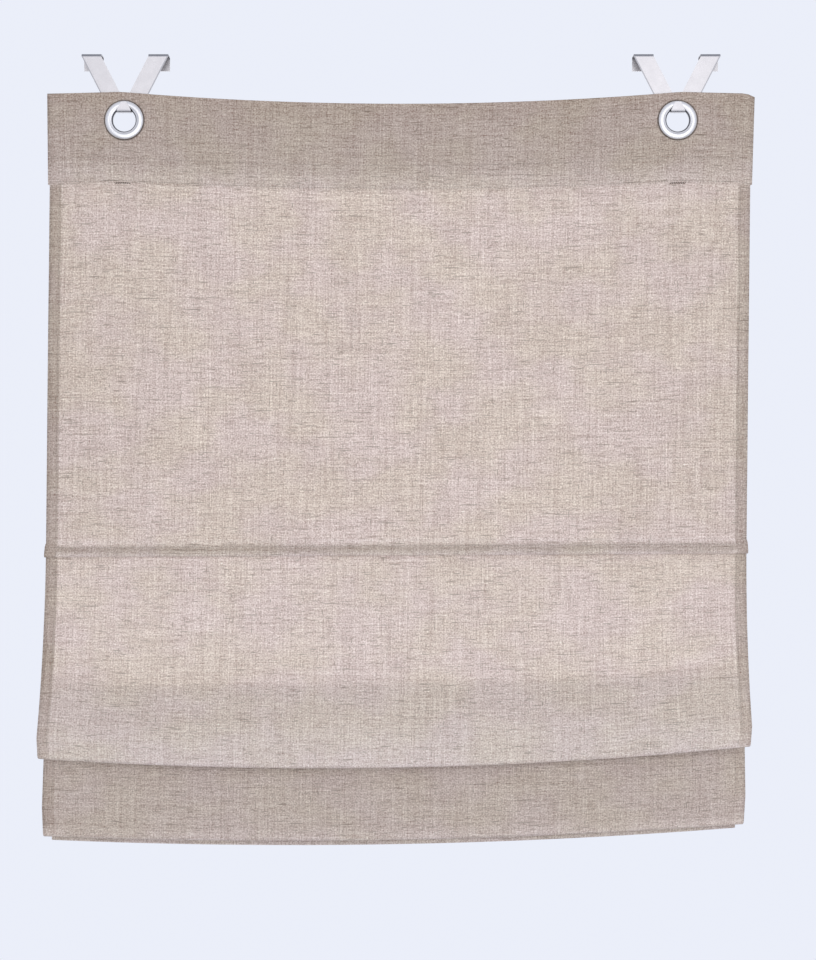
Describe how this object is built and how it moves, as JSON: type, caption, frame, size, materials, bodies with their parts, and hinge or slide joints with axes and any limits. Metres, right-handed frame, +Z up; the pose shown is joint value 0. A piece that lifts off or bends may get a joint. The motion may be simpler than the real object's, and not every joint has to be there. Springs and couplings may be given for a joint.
{
  "type": "roman blind",
  "caption": "Linen roman blind drawn up into soft folds, with an eyelet header that hangs on flat V-shaped metal hooks set over a window sash, no drilling needed.",
  "frame": {"origin": "on the top of the window sash, midway between the two hooks, at the sash's front face", "axes": "+Z up, the front of the blind faces -Y, +X to the right as seen from the front"},
  "size_m": [0.8191, 0.0363, 0.9091],
  "materials": {
    "linen": "slubby plain-weave linen, natural greige",
    "tape": "stiff non-woven header tape",
    "hook_metal": "satin bent strip",
    "eyelet_metal": "satin nickel",
    "rod": "plain glass-fibre rod",
    "bar": "flat flexible weight bar",
    "ring": "moulded clear ring"
  },
  "bodies": {
    "root": {"blind_cloth": "linen", "header_tape": "tape", "bottom_bar": "bar", "hook_left": "hook_metal", "eyelet_face_left": "eyelet_metal", "eyelet_washer_left": "eyelet_metal", "ring_header_left": "ring", "ring_upper_left": "ring", "ring_middle_left": "ring", "ring_lower_left": "ring", "hook_right": "hook_metal", "eyelet_face_right": "eyelet_metal", "eyelet_washer_right": "eyelet_metal", "ring_header_right": "ring", "ring_upper_right": "ring", "ring_middle_right": "ring", "ring_lower_right": "ring", "rod_upper": "rod", "rod_middle": "rod", "rod_lower": "rod"}
  },
  "joints": []
}
